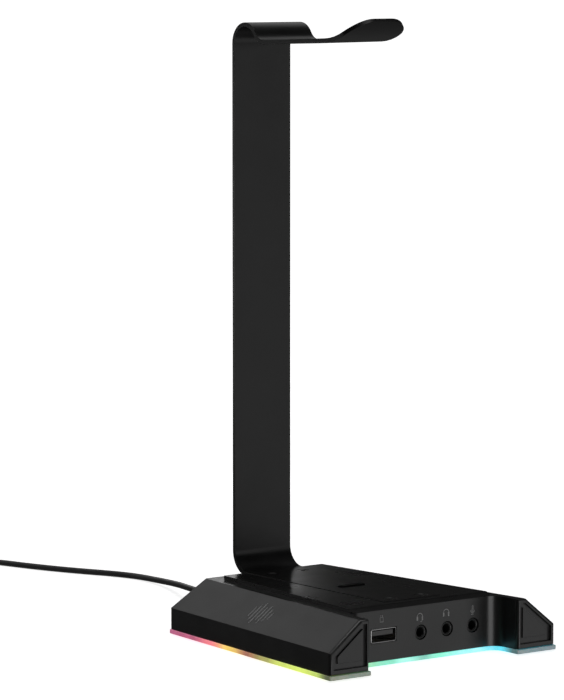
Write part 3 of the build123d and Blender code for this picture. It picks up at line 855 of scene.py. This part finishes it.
def make_jack(name, x):
    """Audio jack: a round nose with a dished mouth in front of its body."""
    low, high = span(name)
    front, back = low.y, high.y
    body_front, nose_back, back_wall, edge_round = port_face + wall + 0.2, 6.0, 1.0, 0.25
    nose = [
        (jack_bore, nose_back), (jack_bore, 0.55), (jack_bore + 0.12, 0.3), (jack_bore + 0.45, 0.06),
        (jack_bore + 0.6, 0.0), (jack_nose - 0.25, 0.0), (jack_nose - 0.07, 0.07), (jack_nose, 0.25),
        (jack_nose, nose_back),
    ]
    body = block((low.x, high.x), (body_front, back), (low.z, high.z))
    soften(body, edge_round, 2)
    drill(body, jack_bore, -3.0, back - front - back_wall, (x, front, jack_z), "Y")
    combine(body, turned("nose", nose, (x, front, jack_z), "Y", ring=True), "UNION")
    body.name = name.replace("jack", "inlet")
    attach(body, "stand")
    soften(body, 0)
    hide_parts(name)
    dress(body, "black_plastic")


# ---- printed marks: a bar motif on the slope, and symbols over the sockets ----

def ribbon(points, width, thick, to_world):
    """A raised line along points of a plane, with square ends."""
    loops = []
    for i, here in enumerate(points):
        before = Vector(points[max(i - 1, 0)])
        after = Vector(points[min(i + 1, len(points) - 1)])
        across = (after - before).normalized().orthogonal() * width / 2
        a, b = Vector(here) + across, Vector(here) - across
        loops.append([to_world(a, 0.0), to_world(b, 0.0), to_world(b, thick), to_world(a, thick)])
    return place("mark", *skin(loops), body=None)


def disc(centre, radius, thick, to_world):
    """A raised round dot in a plane."""
    outline = [Vector(centre) + Vector(p) for p in circle(radius, 24)]
    loops = [[to_world(p, height) for p in outline] for height in (0.0, thick)]
    return place("mark", *skin(loops), body=None)


def arc_points(centre, radius, start, end):
    """Points of an arc, its angles in degrees."""
    steps = 14
    points = []
    for i in range(steps + 1):
        angle = radians(start + (end - start) * i / steps)
        points.append((centre[0] + radius * cos(angle), centre[1] + radius * sin(angle)))
    return points


def on_port_face(x, z):
    """Map a plane point and its height to the port face round (x, z)."""
    def to_world(point, height):
        return (x + point[0], port_face - height, z + point[1])
    return to_world


def make_symbols():
    """Plain symbols: plug, headset, headphones, microphone."""
    line, cup, capsule, thick = 0.28, 0.75, 0.95, 0.05
    bow = arc_points((0, 0), 1.45, 0, 180)
    cups = [([(side * 1.35, 0.1), (side * 1.35, -1.5)], cup) for side in (-1, 1)]
    boom = [(1.35, -1.5), (1.0, -2.0), (0.25, -2.1)]
    plug = [
        ([(-0.8, -1.9), (-0.8, 0.1), (0.8, 0.1), (0.8, -1.9)], line),
        ([(-0.45, 0.2), (-0.45, 1.1)], line),
        ([(0.45, 0.2), (0.45, 1.1)], line),
        ([(-0.97, -1.75), (0.97, -1.75)], line),
    ]
    microphone = [
        ([(0, -0.4), (0, 1.3)], capsule),
        (arc_points((0, -0.2), 1.05, 180, 360), line),
        ([(0, -1.2), (0, -1.95)], line),
        ([(-0.7, -1.95), (0.7, -1.95)], line),
    ]
    symbols = [
        ((-21.8, 20.6), plug),
        ((-1.6, 18.9), [(bow, line), *cups, (boom, line)]),
        ((12.5, 19.2), [(bow, line), *cups]),
        ((26.8, 19.0), microphone),
    ]
    marks = []
    for spot, strokes in symbols:
        here = on_port_face(*spot)
        marks += [ribbon(points, width, thick, here) for points, width in strokes]
    for z in (-0.4, 1.3):
        marks.append(disc((0, z), capsule / 2, thick, here))
    symbols = join("socket_symbols", marks)
    soften(symbols, 0)
    dress(symbols, "housing_plastic", printed_ink)


def make_bar_motif():
    """Generic sound-level bars on the left slope."""
    outward = Vector((-1, taper, 0)).normalized()
    normal = (outward * (roof_z - wall_top) + Vector((0, 0, roof_run))).normalized()
    along = Vector((taper, 1, 0)).normalized()
    up = along.cross(normal)
    edge = -half_width(0) + proud * hypot(1, taper)
    middle = Vector((edge, 0, wall_top)) + up * 9.6 + along * 1.5
    heights = (3.2, 6.4, 9.8, 7.2, 11.2, 8.4, 4.8)
    pitch, width, thick, sunk = 2.4, 0.9, 0.07, 0.02

    def to_world(point, height):
        return middle + along * point[0] + up * point[1] + normal * (height - sunk)

    marks = []
    for i, height in enumerate(heights):
        x = (i - (len(heights) - 1) / 2) * pitch
        marks.append(ribbon([(x, -height / 2), (x, height / 2)], width, thick, to_world))
        for end in (-1, 1):
            marks.append(disc((x, end * height / 2), width / 2, thick, to_world))
    motif = join("bar_motif", marks)
    soften(motif, 0)
    dress(motif, "housing_plastic", motif_ink)


# ---- underside ----

def make_base_screws():
    """Pan head screws with a cross recess, seen from below."""
    thread, seat, arm, half_slot, cross_depth = 0.95, 1.0, 1.3, 0.25, 0.6
    head = [(2.3, seat), (2.3, 0.45), (2.1, 0.22), (1.7, 0.12), (1.2, 0.1)]
    profile = [(thread, 9.0 - foot_gap), (thread, seat), *head]
    screws = []
    for x, y in base_screw_spots:
        screw = turned("screw", profile, (x, y, foot_gap))
        for wide, deep in ((arm, half_slot), (half_slot, arm)):
            combine(screw, block((x - wide, x + wide), (y - deep, y + deep), (0, foot_gap + cross_depth)))
        screws.append(screw)
    whole = join("floor_screws", screws)
    soften(whole, 0)
    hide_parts("base_screws")
    dress(whole, "steel_screw")


def make_feet():
    """Round rubber pads with a soft edge and a shallow ring."""
    edge = [(5.5, foot_gap + foot_sink), (5.5, 0.45), (5.4, 0.2), (5.2, 0.05), (4.9, 0.0), (3.4, 0.0)]
    groove = [(3.25, 0.1), (3.0, 0.25), (2.4, 0.25), (2.2, 0.1), (2.0, 0.0), (1.0, 0.0)]
    whole = join("foot_pads", [turned("pad", edge + groove, (x, y, 0)) for x, y in feet_spots])
    soften(whole, 0)
    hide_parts("rubber_feet")
    dress(whole, "foot_rubber")


# ---- cable ----

def cable_route():
    """Points of the lead from its sleeve to the coil."""
    lie, to_coil = cable_radius + 0.15, 0.3
    hanging = [
        exit_point, (0.0, 95.0, 8.4), (3.0, 111.0, 7.7), (8.6, 127.0, 6.6), (15.2, 143.0, 5.2),
        (21.6, 159.0, 3.5), (26.2, 176.0, 2.1),
    ]
    lying = [
        (27.2, 193.0), (22.8, 207.0), (15.4, 221.0), (8.4, 237.0), (2.8, 253.0), (-2.0, 270.0),
        (-9.0, 286.0), (-20.0, 297.0),
    ]
    return hanging + level(lying, lie) + [(-35.0, 303.0, lie + to_coil)]


def coil_route():
    """Turns in layers, in and out by turns, rising from layer to layer."""
    per_turn, climb_turns = 18, 0.25
    outside = coil_outer - cable_radius
    inside = coil_inner + cable_radius
    shrink = cos(pi / per_turn) ** 0.5
    per_layer = coil_turns / coil_layers
    points = []
    for i in range(round(coil_turns * per_turn) + 1):
        turns = i / per_turn
        layer = min(int(turns / per_layer), coil_layers - 1)
        share = turns / per_layer - layer
        radius = outside + (inside - outside) * (share if layer % 2 == 0 else 1 - share)
        climb = max(0.0, 1 - (1 - share) * per_layer / climb_turns)
        if layer == coil_layers - 1:
            climb = 0.0
        height = coil_low + cable_radius + 2 * cable_radius * (layer + climb)
        angle = pi / 2 + 2 * pi * turns
        points.append((
            coil_centre[0] + radius / shrink * cos(angle),
            coil_centre[1] + radius / shrink * sin(angle),
            height,
        ))
    return points


def tail_route():
    """Points of the lead from the coil down to the plug."""
    x, y = coil_centre
    high = coil_low + (2 * coil_layers - 1) * cable_radius
    start = x - coil_outer + cable_radius
    return [
        (start - 0.8, y - 14.0, high - 1.4),
        (start - 4.6, y - 28.0, 7.4),
        (start - 9.6, y - 42.0, plug_z),
        (start - 12.6, y - 56.0, plug_z),
    ]


def make_cord(with_pieces):
    """One open spline of round section, from the sleeve through the coil to the plug.

    Its points hold the radius, because Blender adds their radius in metres to the curve's box.
    """
    points = cable_route() + coil_route() + tail_route()
    data = bpy.data.curves.new("lead", "CURVE")
    data.dimensions = "3D"
    spline = data.splines.new("NURBS")
    spline.points.add(len(points) - 1)
    for point, spot in zip(spline.points, points):
        point.co = (*(Vector(spot) * mm), 1.0)
        point.radius = cable_radius * mm
    spline.order_u = 3
    spline.use_endpoint_u = True
    spline.resolution_u = 6
    data.bevel_depth = 1.0
    data.bevel_resolution = 5
    data.use_fill_caps = True
    lead = linked("lead", data, "stand")
    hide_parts("cable", "cable_coil", "cable_tail")
    data.materials.append(finishes["cable_rubber"])


def make_sleeve():
    """Strain relief: collar in the rear wall and a ribbed sleeve that narrows to the cable."""
    wall_out = base_length - proud
    end = exit_point[1] - wall_out
    grooves, first, pitch, groove_width, groove_floor = 4, 3.6, 3.2, 1.2, 1.75
    collar_end, widest, narrowing = 1.9, 2.7, 0.8

    def outside(along):
        return widest - narrowing * (along - collar_end) / (end - collar_end)

    profile = [
        (0.6, -4.0), (3.1, -4.0), (3.3, -3.8), (3.3, -2.3), (2.85, -2.2), (2.85, 0.15),
        (3.2, 0.15), (3.3, 0.3), (3.3, 1.4), (3.15, 1.7), (2.75, collar_end),
    ]
    for i in range(grooves):
        near = first + i * pitch
        far = near + groove_width
        profile += [
            (outside(near), near), (outside(near) - 0.1, near + 0.08), (groove_floor + 0.05, near + 0.25),
            (groove_floor, (near + far) / 2), (groove_floor + 0.05, far - 0.25),
            (outside(far) - 0.1, far - 0.08), (outside(far), far),
        ]
    profile += [(1.95, end - 0.15), (1.85, end - 0.02), (0.6, end)]
    sleeve = turned("cable_sleeve", profile, (0, wall_out, exit_point[2]), "Y", "stand")
    soften(sleeve, 0)
    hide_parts("strain_relief")
    return dress(sleeve, "cable_rubber")


def make_tie():
    """Soft band round the bundle of turns."""
    play = 0.1
    low = coil_low - play
    high = coil_low + coil_layers * 2 * cable_radius + play
    middle = (coil_inner + coil_outer) / 2
    width = coil_outer - coil_inner + 4 * play
    half_band, chamfer = 1.5, 0.15
    turn = Matrix.Rotation(radians(150), 4, "Z")
    centre = Vector((*coil_centre, 0))

    def ring(grow, along, radius):
        outline = rounded_box(width + grow, high - low + grow, radius)
        return [centre + turn @ Vector((middle + x, along, (low + high) / 2 + z)) for x, z in outline]

    outer = [ring(0.8, -half_band, 1.8), ring(1.0, chamfer - half_band, 1.9)]
    outer += [ring(1.0, half_band - chamfer, 1.9), ring(0.8, half_band, 1.8)]
    inner = [ring(0.0, half_band, 1.4), ring(0.0, -half_band, 1.4)]
    tie = place("lead_tie", *skin(outer + inner, ring=True))
    soften(tie, 0)
    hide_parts("cable_tie")
    return dress(tie, "tie_rubber")


def lay_plug(piece):
    """Move a piece from the plug's own space, grip round the origin and metal along -Y, to its place."""
    route = tail_route()
    end, before = Vector(route[-1]), Vector(route[-2])
    heading = (end - before).normalized()
    middle = end + heading * plug_size[2] / 2
    where = Matrix.Translation((middle.x, middle.y, plug_z)) @ Matrix.Rotation(asin(heading.x), 4, "Z")
    piece.data.transform(Matrix.Scale(mm, 4) @ where @ Matrix.Scale(1 / mm, 4))


def make_plug_grip():
    """Moulded grip with a waist, side ribs and a collar where the lead enters."""
    width, height, length = plug_size
    corner, edge_round = 2.2, 0.12
    stations = [
        (-0.5, 0.94, 0.90), (-0.48, 0.98, 0.96), (-0.44, 1.0, 1.0), (-0.30, 1.0, 1.0), (-0.1, 0.96, 0.98),
        (0.1, 0.93, 0.96), (0.28, 0.95, 0.98), (0.38, 0.93, 0.96), (0.45, 0.84, 0.86), (0.49, 0.7, 0.7),
        (0.5, 0.6, 0.6),
    ]
    grooves, first, pitch, half_groove, depth, half_tall = 4, -1.0, 2.2, 0.45, 0.55, 2.2
    loops = []
    for share, wide, tall in stations:
        outline = rounded_box(width * wide, height * tall, corner * min(wide, tall), 8)
        loops.append([(x, length * share, z) for x, z in outline])
    grip = place("plug_body", *skin(loops))
    for i in range(grooves):
        y = first + pitch * i
        for side in (-1, 1):
            ends = sorted((side * (width / 2 - depth), side * (width / 2 + 1)))
            combine(grip, block(ends, (y - half_groove, y + half_groove), (-half_tall, half_tall)))
    lay_plug(grip)
    soften(grip, edge_round, 2, 40)
    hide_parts("plug_grip")
    return dress(grip, "plug_plastic")


def make_plug_shell():
    """Metal sleeve of the plug, open in front, with two windows on top."""
    width, height, out = plug_metal
    back = -plug_size[2] / 2
    front = back - out
    window_x, half_window, window_y = 2.7, 1.2, (front + 4.5, front + 6.9)
    outer = [(0.0, back), (0.0, front + 0.15), (0.15, front)]
    inner = [(0.45, front), (0.6, front + 0.15), (0.6, back - 0.9)]
    loops = []
    for inset, y in outer + inner:
        outline = rounded_box(width - inset, height - inset, max(0.5 - inset / 2, 0.25))
        loops.append([(x, y, z) for x, z in outline])
    shell = place("plug_sleeve", *skin(loops))
    for x in (-window_x, window_x):
        combine(shell, block((x - half_window, x + half_window), window_y, (0.3, height)))
    lay_plug(shell)
    soften(shell, 0)
    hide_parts("plug_shell")
    return dress(shell, "tin_plate")


# ---- floor and light ----

def make_stage():
    """Pale floor, and a backdrop of the same brightness, which only the camera sees."""
    reach, dome_radius, rings, lowest = 15000.0, 14500.0, 12, -4
    white, brightness = (1, 1, 1, 1), 1.1
    loops = [level(circle(radius, 96), 0.0) for radius in (15.0, reach)]
    floor = place("floor", *skin(loops, ends=False), body=None)
    material, nodes, links, shader = new_material("floor_paint")
    slow = grain(nodes, links, 900.0, 3.0)
    links.new(tint(nodes, links, slow, 0.72, 0.76), shader.inputs["Base Color"])
    links.new(spread(nodes, links, slow, 0.8, 0.9), shader.inputs["Roughness"])
    shader.inputs["Specular IOR Level"].default_value = 0.1
    shader.inputs["Emission Color"].default_value = white
    where = nodes.new("ShaderNodeTexCoord")
    far = nodes.new("ShaderNodeVectorMath")
    far.operation = "LENGTH"
    links.new(where.outputs["Object"], far.inputs[0])
    glow = spread(nodes, links, far.outputs["Value"], 0.82, brightness, 0.25, 1.1)
    links.new(glow, shader.inputs["Emission Strength"])
    floor.data.materials.append(material)

    loops = []
    for i in range(rings):
        angle = radians(lowest + (90 - lowest) * i / rings)
        loops.append(level(circle(dome_radius * cos(angle), 64), dome_radius * sin(angle)))
    dome = place("backdrop", *skin(loops, ends=False), body=None)
    material, _, _, shader = new_material("backdrop_paint")
    shader.inputs["Base Color"].default_value = (0, 0, 0, 1)
    shader.inputs["Emission Color"].default_value = white
    shader.inputs["Emission Strength"].default_value = brightness
    dome.data.materials.append(material)
    for piece in (floor, dome):
        close_holes(piece)
        piece.visible_glossy = False
        piece.visible_diffuse = False
        piece.visible_shadow = False
        piece.visible_transmission = False


def softbox(name, spot, target, size, radiance):
    """A rectangular area light at spot, turned to target, unseen by the camera."""
    data = bpy.data.lights.new(name, "AREA")
    data.shape = "RECTANGLE"
    data.size, data.size_y = size
    data.energy = radiance * pi * size[0] * size[1]
    lamp = linked(name, data)
    lamp.location = spot
    lamp.rotation_euler = (Vector(target) - Vector(spot)).to_track_quat("-Z", "Y").to_euler()
    lamp.visible_camera = False


def make_sky(stops):
    """Surroundings that reflect in the object: brightness by height, from below (-1) to above (1)."""
    world = bpy.context.scene.world or bpy.data.worlds.new("world")
    bpy.context.scene.world = world
    world.use_nodes = True
    nodes, links = world.node_tree.nodes, world.node_tree.links
    direction = nodes.new("ShaderNodeTexCoord")
    split = nodes.new("ShaderNodeSeparateXYZ")
    links.new(direction.outputs["Generated"], split.inputs["Vector"])
    height = spread(nodes, links, split.outputs["Z"], 0.0, 1.0, -1.0, 1.0)
    ramp = coloured(nodes, links, height, [((z + 1) / 2, value) for z, value in stops])
    links.new(ramp.outputs["Color"], nodes["Background"].inputs["Color"])


def make_lights():
    """Dim surroundings, four large soft boxes round the stand, and three small ones close to it.

    The small ones shine along the deck, on the hump and on the post, as in the photo.
    """
    make_sky([(-1.0, 0.18), (-0.5, 0.1), (-0.2, 0.03), (0.1, 0.025), (0.5, 0.02), (1.0, 0.1)])
    softbox("top", (0.0, 0.0, 2.2), (0, 0, 0), (1.2, 1.2), 3.0)
    softbox("slope_card", (-0.35, 1.5, 1.1), (0, 0, 0.05), (1.6, 1.1), 0.55)
    softbox("front_card", (1.0, -1.4, -0.1), (0, 0, 0.1), (0.9, 1.1), 0.9)
    softbox("edge_box", (-0.25, -1.7, -0.3), (0, 0, 0.1), (1.3, 1.0), 2.6)
    softbox("low_card", (0.233, 0.506, 0.11), (0, 0.05, 0.03), (0.2, 0.1), 1.3)
    softbox("hump_card", (0.13, 0.15, 0.375), (0, 0.03, 0.255), (0.12, 0.12), 0.65)
    softbox("post_card", (-0.6, 0.85, 0.1), (0, 0.05, 0.15), (0.3, 0.22), 1.5)


# ---- carried-over CAD nodes ----

def dress_nodes():
    """Materials for the CAD nodes that stay in view or inside."""
    for row in frame["record"]["subparts"]:
        materials = frame["nodes"][row["node"]].data.materials
        materials.clear()
        materials.append(finishes[row["material_slot"]])


def build():
    """The whole scene."""
    make_camera()
    inserts = [frame["nodes"][name] for name in ("plug_tongue", "plug_contacts")]
    make_cord([make_sleeve(), make_tie(), make_plug_grip(), make_plug_shell(), *inserts])
    make_housing()
    make_deck()
    for side in (-1, 1):
        make_end_cap(side)
    make_light_guide()
    make_bottom_plate()
    make_strip()
    make_foot_screws()
    make_button()
    make_usb_shell()
    for name, x in zip(jack_names, jack_x):
        make_jack(name, x)
    make_symbols()
    make_bar_motif()
    make_base_screws()
    make_feet()
    dress_nodes()
    make_stage()
    make_lights()
    bpy.context.scene.view_settings.view_transform = "Standard"


build()
